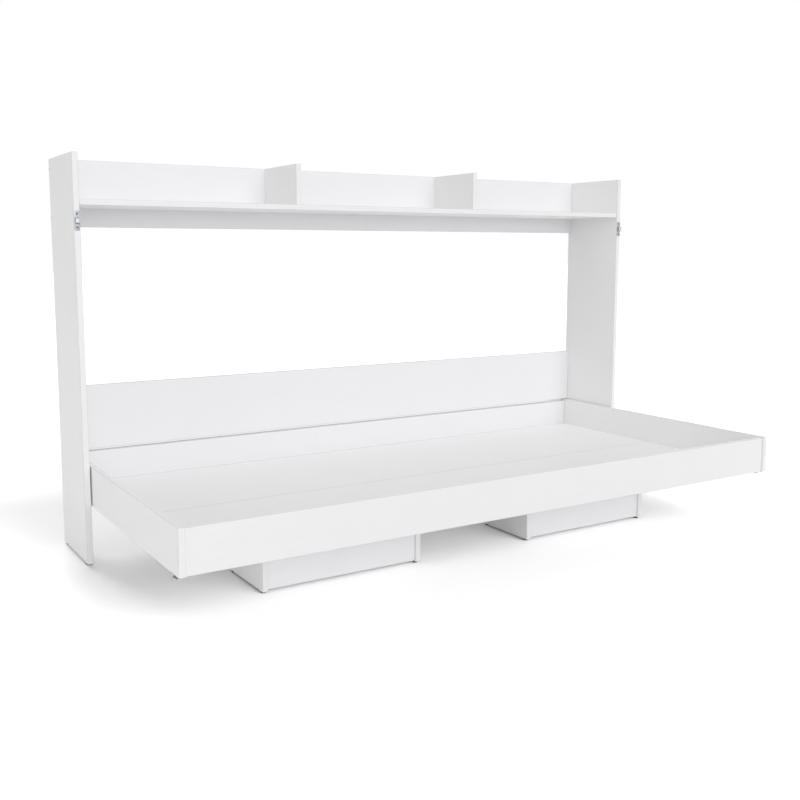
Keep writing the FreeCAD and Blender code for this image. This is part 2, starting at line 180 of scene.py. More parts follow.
print("a face starts where its axis takes", FACE_LIMITS["From Min"], "of the direction")

# %% [markdown]
# ## Clouds and streaks in the white
#
# Seen close, white melamine is not one white: it is faintly clouded, with streaks along the board. A
# picture of real board could be wrapped round each piece, but it would show its repeats and its seams.
# Noise that is worked out in space has neither. Each board starts its noise from a number of its own, so
# that no two are alike.

# %% Mottle of a board
CLOUDS = {"Scale": 5.0, "Detail": 3.0}
STREAKS = {"Scale": 140.0, "Detail": 4.0}
STREAK_STRETCH = 0.06
MOTTLE_LIMITS = {"From Min": 0.12, "From Max": 0.42}
SEED_SPREAD = 40.0


def board_mottle(graph, spot, grain_axis):
    """The share of the second white on a board, and the streaks that are part of it."""
    board = add_node(graph, "ShaderNodeObjectInfo").outputs["Random"]
    seed = calculate(graph, "MULTIPLY", board, SEED_SPREAD)
    clouds = noise(graph, spot, CLOUDS, seed)
    streaks = noise(graph, run_along(graph, spot, grain_axis, STREAK_STRETCH), STREAKS, seed)
    mottle = take_to_range(graph, calculate(graph, "MULTIPLY", clouds, streaks), MOTTLE_LIMITS)
    return mottle, streaks


print("streaks are drawn out", round(1 / STREAK_STRETCH), "times along the board")

# %% [markdown]
# ## White melamine board
#
# The press plate leaves a fine pebble in the faces, less than a millimetre across, and the tape on the
# edges is smoother and a little glossier. The panels that close the back and the supports, and the tray's
# rear rail, come from a batch with a cooler white than the rest. The two dividers take a slightly greyer
# white, which is painted shade, the shade that falls on them between the shelf and the back board. The base
# of the tray is one board sawn in two, and the edges of that cut are left bare, so the seam shows as a fine
# greyish line.
#
# Each kind of board could have a graph of its own. But they differ only in a few values: which axis is
# square to the faces, which way the streaks run, two tones of white, how much of the corner's grey line of
# adhesive and painted shade shows and where a cut was left bare. So one function makes them all.

# %% The white board finish
MM = 0.001
PLAIN_WHITE = ((0.874, 0.874, 0.873, 1.0), (0.859, 0.859, 0.859, 1.0))
COOL_WHITE = ((0.871, 0.864, 0.884, 1.0), (0.856, 0.850, 0.870, 1.0))
# The dividers' greyer white is painted shade, the shade between the shelf and the back board.
PAINTED_SHADE_WHITE = ((0.838, 0.838, 0.838, 1.0), (0.822, 0.822, 0.822, 1.0))
WHITE_EDGE = (0.855, 0.855, 0.855, 1.0)
# Grey of the trimmed corner: partly the tape's adhesive, partly painted shade along the corner.
CORNER_SHADE_AND_GLUE = (0.60, 0.60, 0.595, 1.0)
CORNER_GREY_SEEN, CORNER_GREY_FAINT = 0.95, 0.30
BARE_CORE = (0.54, 0.535, 0.52, 1.0)
BARE_REACH = 2.0 * MM
PEBBLE = {"Scale": 1500.0, "Detail": 2.0, "Roughness": 0.6}
PEBBLE_DEPTH = 0.02 * MM
TAPE_ROUGHNESS = {"From Min": 0.3, "From Max": 0.7, "To Min": 0.40, "To Max": 0.50}
FACE_ROUGHER = 0.10
MELAMINE_IOR = 1.5


def white_board(name, face_axis, grain_axis, whites, corner_grey=CORNER_GREY_SEEN, bare_cut=None):
    """Melamine board: face_axis is square to its faces, grain_axis runs along it, whites are its two tones.

    The corner grey is how much of the corner's grey line of adhesive and painted shade shows, and a bare cut
    is the place along Y of a sawn edge without tape.
    """
    finish, graph, shader = bare_finish(name)
    place = add_node(graph, "ShaderNodeTexCoord").outputs
    spot = place["Object"]
    on_face, on_corner = board_zones(graph, place["Normal"], face_axis, corner_grey)
    mottle, streaks = board_mottle(graph, spot, grain_axis)

    white = blend_colours(graph, on_face, WHITE_EDGE, blend_colours(graph, mottle, *whites))
    # The corner's grey line is partly the tape's adhesive and partly painted shade along the corner.
    white = blend_colours(graph, on_corner, white, CORNER_SHADE_AND_GLUE)
    if bare_cut is not None:
        across = add_node(graph, "ShaderNodeSeparateXYZ", {0: spot}).outputs["Y"]
        at_cut = calculate(graph, "COMPARE", across, bare_cut, BARE_REACH)
        bare = calculate(graph, "SUBTRACT", at_cut, on_face, use_clamp=True)
        white = blend_colours(graph, bare, white, BARE_CORE)
    graph.links.new(white, shader.inputs["Base Color"])

    tape = take_to_range(graph, streaks, TAPE_ROUGHNESS)
    roughness = calculate(graph, "MULTIPLY_ADD", on_face, FACE_ROUGHER, tape)
    graph.links.new(roughness, shader.inputs["Roughness"])
    emboss(graph, shader, noise(graph, spot, PEBBLE), PEBBLE_DEPTH, on_face)
    shader.inputs["IOR"].default_value = MELAMINE_IOR
    return finish


print("white board with", round(PEBBLE["Scale"] * MM, 1), "pebbles to the millimetre")

# %% Which boards get which white
BOARDS = [
    ("upright_board", "X", "Z", PLAIN_WHITE, [
        "left_upright", "right_upright", "left_support_inner_side", "left_support_outer_side",
        "right_support_inner_side", "right_support_outer_side"]),
    # The dividers take the greyer white, painted shade between the shelf and the back board.
    ("divider_board", "X", "Z", PAINTED_SHADE_WHITE, ["left_divider", "right_divider"]),
    ("end_board", "X", "Y", PLAIN_WHITE, ["left_end_board", "right_end_board"]),
    ("rail_board", "Y", "X", PLAIN_WHITE, ["front_rail", "stop_strip", "gap_lath"]),
    ("back_board", "Y", "X", COOL_WHITE, [
        "upper_back_board", "lower_back_panel", "rear_rail", "left_support_panel", "right_support_panel"]),
    ("flat_board", "Z", "X", PLAIN_WHITE, ["shelf"]),
]
dressed = set()


def dress(finish, *names):
    """Gives CAD nodes their finish."""
    for name in names:
        nodes[name].data.materials.clear()
        nodes[name].data.materials.append(finish)
    dressed.update(names)
    print(finish.name, "on", ", ".join(names))


for name, face_axis, grain_axis, whites, boards in BOARDS:
    dress(white_board(name, face_axis, grain_axis, whites), *boards)
seam_y = (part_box("front_base_panel")[1][1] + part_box("rear_base_panel")[0][1]) / 2
# The base shows only a faint part of the corner's grey line of adhesive and painted shade.
base_board = white_board("base_board", "Z", "X", PLAIN_WHITE, corner_grey=CORNER_GREY_FAINT, bare_cut=seam_y)
dress(base_board, "front_base_panel", "rear_base_panel")

# %% [markdown]
# ## Zinc on steel
#
# The keeps, latches, bolts, screws and pivots are mild steel with a thin coat of zinc. Fresh zinc is a
# cool light grey with soft clouds where the bath ran unevenly, and the press and the die leave fine
# scratches. The crowns of the keeps take a brighter zinc, a painted highlight where the light falls on their
# fronts.
# The latches under the tray, their bolts and the small screws of all these plates take a darker zinc, which
# is painted shade: the shade under the tray and at the small screw heads. A plain metal shader would look
# like a mirror, so both the colour and the roughness follow a cloudy noise, and a second, much finer one
# roughens the surface.

# %% The zinc finish
ZINC_BRIGHT = (0.44, 0.45, 0.47, 1.0)
ZINC_DULL = (0.35, 0.36, 0.38, 1.0)
# The darker zinc is painted shade, for the shade under the tray and at the small screw heads.
PAINTED_SHADE_ZINC_BRIGHT = (0.27, 0.275, 0.28, 1.0)
PAINTED_SHADE_ZINC_DULL = (0.21, 0.213, 0.217, 1.0)
# The brighter zinc of the keeps' crowns is a painted highlight where the light falls on their fronts.
PAINTED_HIGHLIGHT_BRIGHT = (0.53, 0.54, 0.555, 1.0)
PAINTED_HIGHLIGHT_DULL = (0.47, 0.48, 0.495, 1.0)
ZINC_CLOUDS = {"Scale": 190.0, "Detail": 5.0, "Roughness": 0.6}
ZINC_PATCH = {"From Min": 0.32, "From Max": 0.68}
ZINC_ROUGHNESS = {"From Min": 0.3, "From Max": 0.7, "To Min": 0.48, "To Max": 0.64}
SCRATCHES = {"Scale": 3500.0, "Detail": 2.0}
SCRATCH_DEPTH, SCRATCH_STRENGTH = 0.02 * MM, 0.35


def zinc_plated(name, bright, dull):
    """Zinc on pressed or turned steel, clouded between two tones."""
    finish, graph, shader = bare_finish(name)
    spot = add_node(graph, "ShaderNodeTexCoord").outputs["Object"]
    clouds = noise(graph, spot, ZINC_CLOUDS)
    tone = blend_colours(graph, take_to_range(graph, clouds, ZINC_PATCH), bright, dull)
    graph.links.new(tone, shader.inputs["Base Color"])
    graph.links.new(take_to_range(graph, clouds, ZINC_ROUGHNESS), shader.inputs["Roughness"])
    emboss(graph, shader, noise(graph, spot, SCRATCHES), SCRATCH_DEPTH, SCRATCH_STRENGTH)
    shader.inputs["Metallic"].default_value = 1.0
    return finish


zinc = zinc_plated("zinc_plate", ZINC_BRIGHT, ZINC_DULL)
# Darker zinc: painted shade under the tray and at the small screw heads.
dark_zinc = zinc_plated("dark_zinc", PAINTED_SHADE_ZINC_BRIGHT, PAINTED_SHADE_ZINC_DULL)
# Brighter zinc for the keeps' crowns: a painted highlight.
burnished_zinc = zinc_plated("burnished_zinc", PAINTED_HIGHLIGHT_BRIGHT, PAINTED_HIGHLIGHT_DULL)
dress(zinc, "left_keep", "right_keep", "left_pivot", "right_pivot", "back_board_screws", "divider_screws",
      "shelf_cam_locks", "lower_panel_cam_locks", "rail_cam_locks")
# The latches, bolts and their screws get the darker zinc, painted shade.
dress(dark_zinc, "left_latch", "right_latch", "left_bolt", "right_bolt", "keep_screws", "latch_screws")

# %% [markdown]
# ## Moulded plastics
#
# The glides under the boards are black moulded plastic with the fine spark texture of the mould. The
# bushes that the tray turns in are natural nylon, off-white and waxy, and the caps and lacquered heads on
# the boards are smooth and white. A flat colour would do from afar, but a close view of any of them should
# show the grain of its own kind. Two noises are enough for all three: a slow one for the flow of the melt,
# and a fine one for the spark texture.

# %% Glides, bushes and caps in plastic
GLIDE_BLACK = (0.020, 0.020, 0.021, 1.0)
GLIDE_GREY = (0.034, 0.034, 0.035, 1.0)
NYLON_WHITE = (0.80, 0.80, 0.76, 1.0)
NYLON_WARM = (0.74, 0.73, 0.67, 1.0)
CAP_WHITE = (0.865, 0.865, 0.868, 1.0)
CAP_SHADE = (0.845, 0.845, 0.850, 1.0)
GLIDE_ROUGHNESS, NYLON_ROUGHNESS, CAP_ROUGHNESS = 0.5, 0.42, 0.34
ROUGHNESS_SPREAD = 0.08
FLOW = {"Scale": 90.0, "Detail": 2.0}
SPARK = {"Scale": 2600.0, "Detail": 3.0}
COARSE_SPARK, FINE_SPARK = 0.03 * MM, 0.01 * MM
SPARK_STRENGTH = 0.4


def moulded_plastic(name, first, second, roughness, spark_depth):
    """A moulded plastic with the fine spark texture of its mould."""
    finish, graph, shader = bare_finish(name)
    spot = add_node(graph, "ShaderNodeTexCoord").outputs["Object"]
    spark = noise(graph, spot, SPARK)
    tone = blend_colours(graph, noise(graph, spot, FLOW), first, second)
    graph.links.new(tone, shader.inputs["Base Color"])
    limits = {"To Min": roughness - ROUGHNESS_SPREAD, "To Max": roughness + ROUGHNESS_SPREAD}
    graph.links.new(take_to_range(graph, spark, limits), shader.inputs["Roughness"])
    emboss(graph, shader, spark, spark_depth, SPARK_STRENGTH)
    return finish


glide_plastic = moulded_plastic("glide_plastic", GLIDE_BLACK, GLIDE_GREY, GLIDE_ROUGHNESS, COARSE_SPARK)
nylon = moulded_plastic("natural_nylon", NYLON_WHITE, NYLON_WARM, NYLON_ROUGHNESS, FINE_SPARK)
cap_plastic = moulded_plastic("cap_plastic", CAP_WHITE, CAP_SHADE, CAP_ROUGHNESS, FINE_SPARK)
dress(glide_plastic, "upright_glides", "support_glides")
dress(nylon, "left_pivot_bush", "right_pivot_bush")

# %% [markdown]
# ## Beech dowels
#
# The dowels between the boards are beech, pale brown with short darker flecks that run along the grain.
# They are hidden while the bed is whole, so one colour could be enough, but each piece of the model can
# also be looked at by itself. The flecks are the same noise as in the other finishes, drawn out along the
# bed, as most of the dowels lie.

# %% Beech
BEECH_PALE = (0.70, 0.53, 0.36, 1.0)
BEECH_FLECK = (0.52, 0.35, 0.21, 1.0)
BEECH_ROUGHNESS = 0.62
FLECKS = {"Scale": 1400.0, "Detail": 4.0, "Roughness": 0.7}
FLECK_STRETCH = 0.12
FLECK_LIMITS = {"From Min": 0.48, "From Max": 0.72}
FLECK_DEPTH, FLECK_STRENGTH = 0.1 * MM, 0.5


def beech(name, grain_axis):
    """Turned beech with flecks along the grain."""
    finish, graph, shader = bare_finish(name)
    spot = add_node(graph, "ShaderNodeTexCoord").outputs["Object"]
    flecks = noise(graph, run_along(graph, spot, grain_axis, FLECK_STRETCH), FLECKS)
    tone = blend_colours(graph, take_to_range(graph, flecks, FLECK_LIMITS), BEECH_PALE, BEECH_FLECK)
    graph.links.new(tone, shader.inputs["Base Color"])
    emboss(graph, shader, flecks, FLECK_DEPTH, FLECK_STRENGTH)
    shader.inputs["Roughness"].default_value = BEECH_ROUGHNESS
    return finish


dress(beech("beech_along_bed", "X"), "lower_panel_dowels", "rail_dowels", "base_dowels", "support_dowels")
print("nodes without a finish:", sorted(set(nodes) - dressed))

# %% [markdown]
# ## Where each small piece sits
#
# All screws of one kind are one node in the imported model, and so are the cams and the glides. To give each
# of them a better shape, the script has to know where each one is. Typing the places in would work until
# the bed changes size, so they are read from the model. A loaded mesh is cut along its sharp edges, so its
# points are first joined again by their place, and points that share a face then belong to one solid.

# %% Solids of a node and their outer faces
SAME_PLACE_DIGITS = 5
OUTER_FACE_DEPTH = 0.05 * MM


def solids_of(node):
    """The points of each separate solid in a node."""
    mesh = nodes[node].data
    spots = [tuple(round(value, SAME_PLACE_DIGITS) for value in vertex.co) for vertex in mesh.vertices]
    leader = {spot: spot for spot in spots}

    def lead(spot):
        while leader[spot] != spot:
            spot = leader[spot]
        return spot

    for polygon in mesh.polygons:
        first = lead(spots[polygon.vertices[0]])
        for corner in polygon.vertices[1:]:
            leader[lead(spots[corner])] = first
    solids = {}
    for spot in leader:
        solids.setdefault(lead(spot), []).append(Vector(spot))
    return list(solids.values())


def outer_face(points, out):
    """The middle of a solid's outermost face, and how deep the solid goes behind it."""
    heights = [point.dot(out) for point in points]
    rim = [point for point, height in zip(points, heights) if height > max(heights) - OUTER_FACE_DEPTH]
    return sum(rim, Vector()) / len(rim), max(heights) - min(heights)


for node in ("keep_screws", "latch_screws", "back_board_screws", "upright_glides", "support_glides"):
    print(node, "holds", len(solids_of(node)), "pieces")

# %% [markdown]
# ## A lathe
#
# Screws, cams, caps and glides are all turned or moulded round. Each could be built from Blender's
# cylinders and cones, but one helper is enough for all of them: it takes a list of rings, each with a
# radius and a height, and joins each ring to the next. A ring may also be a cross or a hexagon, which is
# how a screwdriver's recess is pressed into a head. A modelled recess costs a few hundred faces, and
# unlike a painted one it keeps its shadow from every side.

# %% Rings and recesses
LATHE_SIDES = 48


def cross_recess(arm, half_width):
    """The outline of a cross, as a radius for each angle."""
    def radius(angle):
        off = abs((angle + math.pi / 4) % (math.pi / 2) - math.pi / 4)
        return 1.0 / max(math.cos(off) / arm, math.sin(off) / half_width)
    return radius


def hexagon(half_flats):
    """The outline of a hexagon, as a radius for each angle."""
    def radius(angle):
        off = abs((angle + math.pi / 6) % (math.pi / 3) - math.pi / 6)
        return half_flats / math.cos(off)
    return radius


def turn(form, rings, place, out):
    """Adds a turned body: rings of radius and height in mm, from its buried end to the middle of its face.

    The faces inside a recess ask for the piece's second finish, if it has one.
    """
    stand = out.to_track_quat("Z", "Y")
    last, recessed = None, False
    for radius, height in rings:
        if radius == 0.0:
            ring = [form.verts.new(place + out * (height * MM))]
        else:
            ring = []
            for step in range(LATHE_SIDES):
                angle = 2 * math.pi * step / LATHE_SIDES
                reach = (radius(angle) if callable(radius) else radius) * MM
                spot = Vector((reach * math.cos(angle), reach * math.sin(angle), height * MM))
                ring.append(form.verts.new(place + stand @ spot))
        for step in range(LATHE_SIDES if last else 0):
            quad = [last[step % len(last)], last[(step + 1) % len(last)],
                    ring[(step + 1) % len(ring)], ring[step % len(ring)]]
            face = form.faces.new(list(dict.fromkeys(quad)))
            face.material_index = 1 if recessed else 0
        recessed = recessed or callable(radius)
        last = ring


print("lathe of", LATHE_SIDES, "sides")

# %% From forms to pieces
SHARP_FROM = math.radians(32.0)
FRONT, BACK, DOWN = Vector((0.0, -1.0, 0.0)), Vector((0.0, 1.0, 0.0)), Vector((0.0, 0.0, -1.0))


def turn_each(node, rings, out=None):
    """A form with one turned body for each solid of a node, where that solid has its outermost face.

    The rings may be a function of the solid's depth in mm. Without an out, a body faces its end of the bed.
    """
    form = bmesh.new()
    for points in solids_of(node):
        facing = Vector((math.copysign(1.0, points[0].x), 0.0, 0.0)) if out is None else out
        place, depth = outer_face(points, facing)
        turn(form, rings(depth / MM) if callable(rings) else rings, place, facing)
    return form


def make_piece(name, form, finishes, body, slot, *stands_for):
    """Turns a form into a piece that rides on a body, and that may stand in for nodes."""
    bmesh.ops.recalc_face_normals(form, faces=form.faces)
    mesh = bpy.data.meshes.new(name)
    form.to_mesh(mesh)
    form.free()
    mesh.polygons.foreach_set("use_smooth", [True] * len(mesh.polygons))
    mesh.set_sharp_from_angle(angle=SHARP_FROM)
    for finish in finishes:
        mesh.materials.append(finish)
    piece = bpy.data.objects.new(name, mesh)
    bpy.context.scene.collection.objects.link(piece)
    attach(piece, body)
    if stands_for:
        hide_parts(*stands_for)
    print(name, "has", len(mesh.polygons), "faces and rides on", body)


print("edges count as sharp from", round(math.degrees(SHARP_FROM)), "degrees")

# %% [markdown]
# ## Keeps, latches and bolts
#
# Each upright has a keep on its front edge, a small pressed plate with a hoop. Each end of the tray has a
# latch of the same plate, whose bolt slides out into the keep when the bed is folded up. The press leaves
# no sharp edge on sheet of this thickness, and it is the rounded edge that catches the light in the
# photograph.
#
# A bevel modifier on the loaded node would change the CAD mesh, which stays as it is. So a copy of the
# mesh is joined up, its flat faces are merged, its sharp edges are rounded, and the copy stands in for the
# node. The outermost flat of a keep or a latch, the crown of its hoop, takes a second and brighter finish:
# on a keep a painted highlight where the light falls on its front, and on a latch plain zinc without the
# painted shade of the rest.

# %% Rounded copies of the pressed parts
PRESSED_ROUNDING = 0.35 * MM
ROUNDING_STEPS = 2
ROUND_PROFILE = 0.5
FLAT_WITHIN = math.radians(1.0)
ROUND_FROM = math.radians(40.0)


def rounded_copy(node, out):
    """A copy of a node's mesh with rounded edges, whose outermost flat asks for the second finish."""
    form = bmesh.new()
    form.from_mesh(nodes[node].data)
    bmesh.ops.remove_doubles(form, verts=form.verts, dist=10.0 ** -SAME_PLACE_DIGITS)
    bmesh.ops.dissolve_limit(form, angle_limit=FLAT_WITHIN, verts=form.verts, edges=form.edges)
    sharp = [edge for edge in form.edges if edge.is_manifold and edge.calc_face_angle() > ROUND_FROM]
    bmesh.ops.bevel(form, geom=sharp, offset=PRESSED_ROUNDING, segments=ROUNDING_STEPS,
                    profile=ROUND_PROFILE, affect="EDGES", clamp_overlap=True)
    top = max(vertex.co.dot(out) for vertex in form.verts)
    for face in form.faces:
        if face.calc_center_median().dot(out) > top - PRESSED_ROUNDING:
            face.material_index = 1
    return form


for side in ("left", "right"):
    # A keep's crown takes the brighter zinc, a painted highlight; latches and bolts take the darker zinc,
    # painted shade under the tray.
    for kind, body, out, finishes in (("keep", "frame", FRONT, (zinc, burnished_zinc)),
                                      ("latch", "bed", DOWN, (dark_zinc, zinc)),
                                      ("bolt", side + "_bolt", DOWN, (dark_zinc, dark_zinc))):
        node = side + "_" + kind
        make_piece(node + "_pressed", rounded_copy(node, out), finishes, body, "zinc_steel", node)

# %% [markdown]
# ## Screws on the plates
#
# The plates are held by small pan-head screws with a cross recess. In the photograph they are only dark
# dots, and a dark disc could stand for them, but a dot that is a real recess stays right when the view
# comes closer. The head's rounded side is a list of shares of its radius and height, so it keeps its form
# at any size.

# %% Pan heads on the plates
PAN_RADIUS, PAN_HEIGHT, PLATE_SHANK = 3.3, 1.3, 1.7
PAN_SIDE_SHARES = [(1.0, -1.0), (1.0, -0.75), (0.94, -0.4), (0.80, -0.14), (0.62, 0.0)]
PAN_CROSS_ARM, PAN_CROSS_HALF_WIDTH = 1.85, 0.5
PAN_BOTTOM_ARM, PAN_BOTTOM_HALF_WIDTH = 1.35, 0.32
PAN_RECESS_SHARE = 0.9


def pan_head(depth):
    """Rings of a pan-head screw that goes depth mm behind the top of its head."""
    shank = [(0.0, -depth), (PLATE_SHANK, 2 * PLATE_SHANK - depth), (PLATE_SHANK, -PAN_HEIGHT)]
    dome = [(across * PAN_RADIUS, up * PAN_HEIGHT) for across, up in PAN_SIDE_SHARES]
    recess = [(cross_recess(PAN_CROSS_ARM, PAN_CROSS_HALF_WIDTH), 0.0),
              (cross_recess(PAN_BOTTOM_ARM, PAN_BOTTOM_HALF_WIDTH), -PAN_RECESS_SHARE * PAN_HEIGHT),
              (0.0, -PAN_HEIGHT)]
    return shank + dome + recess


# The pan heads take the darker zinc, painted shade at the small screw heads.
for node, body, out in (("keep_screws", "frame", FRONT), ("latch_screws", "bed", DOWN)):
    heads = turn_each(node, pan_head, out)
    make_piece(node + "_pan_heads", heads, (dark_zinc, dark_zinc), body, "zinc_steel", node)

# %% [markdown]
# ## Screws in the boards
#
# The dividers are held by flat cross-head screws from under the shelf, and the upper back board by long
# screws through the uprights, whose flush white heads take a hexagon key. Both could be turned apart, but
# they are the same body with a different recess, so one function gives the rings of both. A recess in a
# lacquered head shows bare metal, which is what the second finish of a piece is for.

# %% Flush heads in the boards
FLAT_RADIUS, FLAT_HEIGHT, FLAT_SHANK, FLAT_RECESS = 3.8, 2.5, 2.0, 1.6
FLAT_CROSS_ARM, FLAT_CROSS_HALF_WIDTH = 2.3, 0.6
FLAT_BOTTOM_ARM, FLAT_BOTTOM_HALF_WIDTH = 1.5, 0.4
KEY_RADIUS, KEY_HEIGHT, KEY_SHANK, KEY_RECESS = 4.8, 3.0, 3.4, 2.4
KEY_HALF_FLATS, KEY_BOTTOM_HALF_FLATS = 2.2, 2.0
FLUSH_EDGE = 0.3


def flush_head(radius, height, shank, mouth, bottom, recess_depth, depth):
    """Rings of a screw whose head lies level with the board, around a recess."""
    return [(0.0, -depth), (shank, 2 * shank - depth), (shank, -height), (radius, -height),
            (radius, -FLUSH_EDGE), (radius - FLUSH_EDGE, 0.0), (mouth, 0.0), (bottom, -recess_depth),
            (0.0, -recess_depth - FLUSH_EDGE)]


def flat_head(depth):
    """Rings of a divider's screw, with a cross recess."""
    mouth = cross_recess(FLAT_CROSS_ARM, FLAT_CROSS_HALF_WIDTH)
    bottom = cross_recess(FLAT_BOTTOM_ARM, FLAT_BOTTOM_HALF_WIDTH)
    return flush_head(FLAT_RADIUS, FLAT_HEIGHT, FLAT_SHANK, mouth, bottom, FLAT_RECESS, depth)


def key_head(depth):
    """Rings of a back board's screw, with a hexagon recess."""
    mouth, bottom = hexagon(KEY_HALF_FLATS), hexagon(KEY_BOTTOM_HALF_FLATS)
    return flush_head(KEY_RADIUS, KEY_HEIGHT, KEY_SHANK, mouth, bottom, KEY_RECESS, depth)


heads = turn_each("divider_screws", flat_head, DOWN)
make_piece("divider_screws_flat_heads", heads, (zinc, zinc), "frame", "zinc_steel", "divider_screws")
heads = turn_each("back_board_screws", key_head)
# The recesses of the key heads take the darker zinc, painted shade in the recess.
make_piece("back_board_screws_key_heads", heads, (cap_plastic, dark_zinc), "frame", "zinc_steel",
           "back_board_screws")

# %% [markdown]
# ## Cams and their caps
#
# The shelf and the rails are pulled tight by cams, short zinc drums sunk into the boards. Where they can
# be seen they have white caps, which is why the photograph shows none of them. The two in the back of the
# lower panel face the wall and stay open, with the cross slot that turns them. A cap could be a plain
# disc, but its domed edge is what tells it from the board around it.

# %% Caps in view, open cams at the back
# Each point of a cap's side is a share of its radius and a height in mm.
CAP_RADIUS = 8.6
CAP_SIDE = [(0.0, 0.0), (1.0, 0.0), (1.0, 0.3), (0.97, 0.6), (0.88, 0.8), (0.5, 0.92), (0.0, 0.95)]
CAP_RINGS = [(share * CAP_RADIUS, height) for share, height in CAP_SIDE]
CAM_RADIUS, CAM_DEPTH = 7.2, 12.0
CAM_RIM_RADIUS, CAM_DISH_RADIUS, CAM_DISH = 5.6, 5.3, 0.5
CAM_SLOT_ARM, CAM_SLOT_HALF_WIDTH = 3.6, 0.9
CAM_BOTTOM_ARM, CAM_BOTTOM_HALF_WIDTH = 3.2, 0.7
CAM_SLOT, CAM_SLOT_MIDDLE = 3.0, 3.2
CAM_RINGS = [(0.0, -CAM_DEPTH), (CAM_RADIUS, -CAM_DEPTH), (CAM_RADIUS, -FLUSH_EDGE),
             (CAM_RADIUS - FLUSH_EDGE, 0.0), (CAM_RIM_RADIUS, 0.0), (CAM_DISH_RADIUS, -CAM_DISH),
             (cross_recess(CAM_SLOT_ARM, CAM_SLOT_HALF_WIDTH), -CAM_DISH),
             (cross_recess(CAM_BOTTOM_ARM, CAM_BOTTOM_HALF_WIDTH), -CAM_SLOT), (0.0, -CAM_SLOT_MIDDLE)]

for node, body, out in (("shelf_cam_locks", "frame", DOWN), ("rail_cam_locks", "bed", BACK)):
    make_piece(node + "_caps", turn_each(node, CAP_RINGS, out), (cap_plastic,), body, "nylon")
cams = turn_each("lower_panel_cam_locks", CAM_RINGS, BACK)
make_piece("lower_panel_cams_slotted", cams, (zinc, zinc), "frame", "zinc_steel", "lower_panel_cam_locks")

# %% [markdown]
# ## Glides
#
# Every board that stands on the floor has two black glides nailed under it. They are moulded with a
# rounded rim, so that they slide over a carpet, and a small dimple where the nail's head sits. Seen from
# the front they are the dark spots at the feet of the bed. A plain cylinder would look like a flat-sided
# stub there, so the lathe gives them their round rim.

# %% Moulded glides
# Each point of a glide's side is a share of its radius and a height in mm.
GLIDE_RADIUS, GLIDE_HEIGHT, GLIDE_TOP_EDGE = 7.0, 5.0, 0.2
GLIDE_SIDE = [(0.0, -GLIDE_HEIGHT), (0.97, -GLIDE_HEIGHT), (1.0, GLIDE_TOP_EDGE - GLIDE_HEIGHT), (1.0, -2.0),
              (0.95, -1.1), (0.84, -0.35), (0.70, 0.0)]
NAIL_DIMPLE = [(2.2, 0.0), (1.9, -0.4), (0.0, -0.5)]
GLIDE_RINGS = [(share * GLIDE_RADIUS, height) for share, height in GLIDE_SIDE] + NAIL_DIMPLE

for node, body in (("upright_glides", "frame"), ("support_glides", "bed")):
    glides = turn_each(node, GLIDE_RINGS, DOWN)
    make_piece(node + "_moulded", glides, (glide_plastic,), body, "black_plastic", node)

# %% [markdown]
# ## The stage
#
# The bed stands on a plain pale floor that runs into a white background. A white room could be modelled,
# but its corners would show. Here the floor is one wide sheet. What the bed sees of it is an ordinary pale
# floor that sends light back up, palest around the bed and duller further out. What the camera sees of it
# is whiter, so that the open floor ends in plain white while the shadow under the bed stays.

# %% Lit in one way, shown in another
def seen_directly(graph):
    """1 for rays from the camera, from a mirror or through glass, and 0 for light that bounces."""
    path = add_node(graph, "ShaderNodeLightPath").outputs
    camera_or_mirror = calculate(graph, "MAXIMUM", path["Is Camera Ray"], path["Is Glossy Ray"])
    return calculate(graph, "MAXIMUM", camera_or_mirror, path["Is Transmission Ray"])


def lit_and_shown(graph, lit, shown):
    """A shader that lights the bed as the first one does, and looks like the second."""
    mix = add_node(graph, "ShaderNodeMixShader", {0: seen_directly(graph), 1: lit, 2: shown})
    return mix.outputs["Shader"]


print("floor and room can be shown whiter than they light")

# %% Floor
FLOOR_HALF = 40.0
FLOOR_NEAR = (0.62, 0.62, 0.62, 1.0)
FLOOR_FAR = (0.40, 0.40, 0.40, 1.0)
FLOOR_SHOWN = (0.945, 0.945, 0.945, 1.0)
NEAR_REACH, FAR_REACH = 1.4, 3.2
FLOOR_LIMITS = {"From Min": NEAR_REACH, "From Max": FAR_REACH}


def floor_finish():
    """A pale floor that keeps the bed's shadow and is white where it lies open."""
    finish = bpy.data.materials.new("studio_floor")
    graph = empty_graph(finish)
    spot = add_node(graph, "ShaderNodeTexCoord").outputs["Object"]
    reach = add_node(graph, "ShaderNodeVectorMath", {0: spot}, operation="LENGTH").outputs["Value"]
    outward = take_to_range(graph, reach, FLOOR_LIMITS, interpolation_type="SMOOTHSTEP")
    pale = blend_colours(graph, outward, FLOOR_NEAR, FLOOR_FAR)
    lit = add_node(graph, "ShaderNodeBsdfDiffuse", {"Color": pale}).outputs["BSDF"]
    shown = add_node(graph, "ShaderNodeBsdfDiffuse", {"Color": FLOOR_SHOWN}).outputs["BSDF"]
    add_node(graph, "ShaderNodeOutputMaterial", {"Surface": lit_and_shown(graph, lit, shown)})
    return finish


sheet = bmesh.new()
sheet.faces.new([sheet.verts.new((across * FLOOR_HALF, back * FLOOR_HALF, 0.0))
                 for across, back in ((-1, -1), (1, -1), (1, 1), (-1, 1))])
floor_mesh = bpy.data.meshes.new("floor")
sheet.to_mesh(floor_mesh)
sheet.free()
floor_mesh.materials.append(floor_finish())
floor = bpy.data.objects.new("floor", floor_mesh)
bpy.context.scene.collection.objects.link(floor)
print("floor", 2 * FLOOR_HALF, "m wide")

